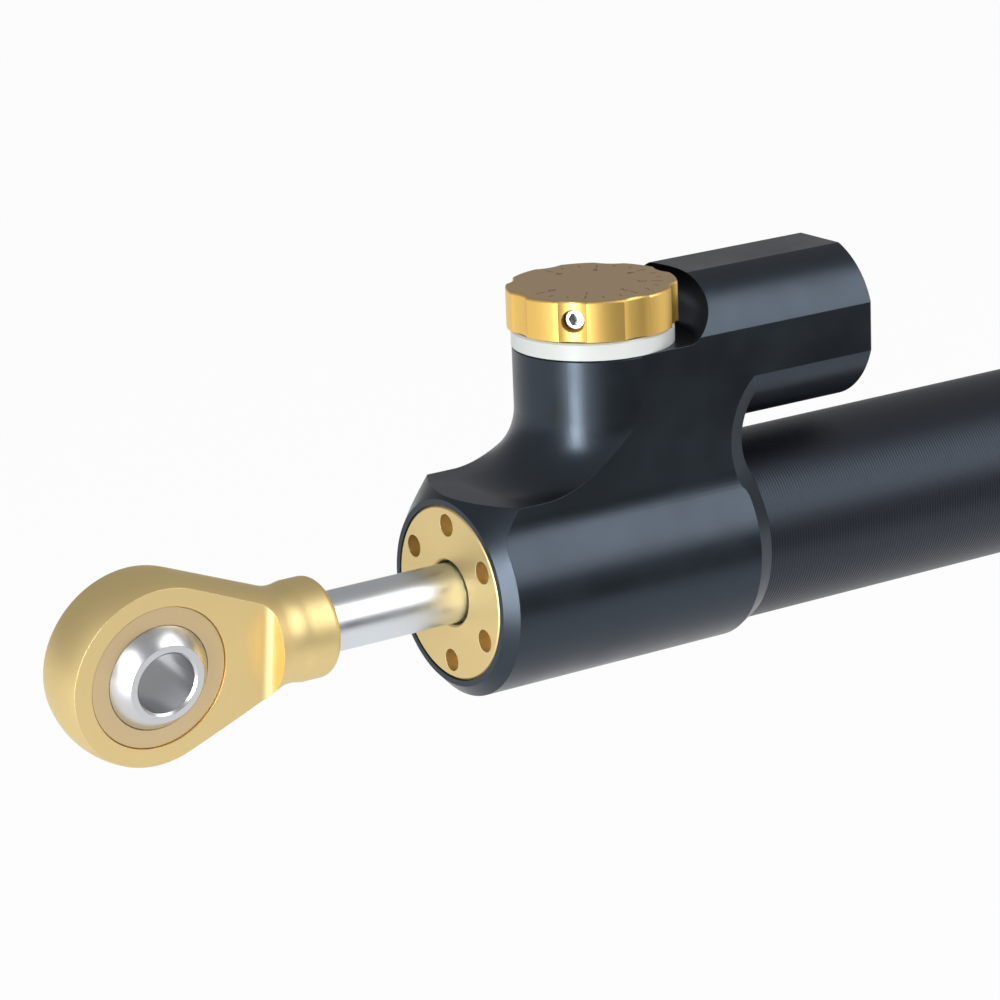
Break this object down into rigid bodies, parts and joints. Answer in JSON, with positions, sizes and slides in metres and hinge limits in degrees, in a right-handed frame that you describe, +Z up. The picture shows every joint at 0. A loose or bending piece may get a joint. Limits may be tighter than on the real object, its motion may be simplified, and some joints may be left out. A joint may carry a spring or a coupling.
{
  "type": "motorcycle steering damper",
  "caption": "Linear steering damper: spherical eye on a chromed rod, black head with click adjuster knob and side-by-side gas reservoir, plain tube for a clamp.",
  "frame": {"origin": "centre of the eye's ball, with the rod fully in", "axes": "+X along the rod and the tube, from the eye to the tube's rear cap; +Z up the turret to the knob"},
  "size_m": [0.1752, 0.0282, 0.0518],
  "materials": {
    "black_anodised": "black hard-anodised, turned and milled",
    "gold_anodised": "gold anodised, satin",
    "race_bronze": "turned bronze",
    "ball_steel": "polished bearing steel",
    "rod_chrome": "hard chrome, ground",
    "ring_nylon": "natural nylon",
    "zinc_steel": "plain steel",
    "spring_steel": "oiled spring steel",
    "plain_aluminium": "turned aluminium",
    "bush_ptfe": "filled PTFE",
    "seal_rubber": "nitrile rubber"
  },
  "bodies": {
    "barrel": {"head_block": "black_anodised", "outer_tube": "black_anodised", "inner_tube": "plain_aluminium", "front_cap": "gold_anodised", "wiper": "seal_rubber", "rod_seal": "seal_rubber", "seal_carrier": "plain_aluminium", "carrier_o_ring": "seal_rubber", "guide_bush": "bush_ptfe", "land_o_ring": "seal_rubber", "rear_seat": "plain_aluminium", "rear_seat_o_ring": "seal_rubber", "rear_cap": "gold_anodised", "knob_ring": "ring_nylon", "gland_nut": "plain_aluminium", "spindle_o_ring": "seal_rubber", "valve_sleeve": "race_bronze", "stop_pin": "zinc_steel", "detent_spring": "spring_steel", "end_plug": "black_anodised", "end_plug_o_ring": "seal_rubber", "circlip": "spring_steel", "gas_screw": "zinc_steel"},
    "piston_band": {"piston_ring": "bush_ptfe"},
    "rod": {"piston_rod": "rod_chrome", "piston": "plain_aluminium", "piston_nut": "zinc_steel", "rod_end_body": "gold_anodised", "bearing_race": "race_bronze"},
    "eye_ball": {"bearing_ball": "ball_steel"},
    "adjuster": {"adjuster_knob": "gold_anodised", "knob_grub_screw": "zinc_steel", "metering_spindle": "zinc_steel"},
    "click_ball": {"detent_ball": "ball_steel"},
    "compensator": {"floating_piston": "plain_aluminium", "floating_o_ring": "seal_rubber"}
  },
  "joints": [
    {"name": "rod_slide", "type": "slide", "parent": "barrel", "child": "piston_band", "axis": [-1, 0, 0], "range_m": [0, 0.06]},
    {"name": "rod_spin", "type": "hinge", "parent": "piston_band", "child": "rod", "pos_m": [0.12, 0, 0], "axis": [1, 0, 0], "continuous": true},
    {"name": "ball_swivel", "type": "hinge", "parent": "rod", "child": "eye_ball", "pos_m": [0, 0, 0], "axis": [0, -0.9903, -0.1392], "continuous": true},
    {"name": "knob_turn", "type": "hinge", "parent": "barrel", "child": "adjuster", "pos_m": [0.07004, 0, 0.032], "axis": [0, 0, 1], "range_deg": [-135, 135]},
    {"name": "click_ball_slide", "type": "slide", "parent": "barrel", "child": "click_ball", "axis": [0, 0, 1], "range_m": [-0.00025, 0], "stiffness_N_per_m": 2000, "springref_m": 0.001, "deforming": ["detent_spring"]},
    {"name": "compensator_slide", "type": "slide", "parent": "barrel", "child": "compensator", "axis": [-1, 0, 0], "range_m": [0, 0.012]}
  ],
  "couplings": [
    {"joint": "compensator_slide", "follows": "rod_slide", "ratio": 0.19753}
  ]
}
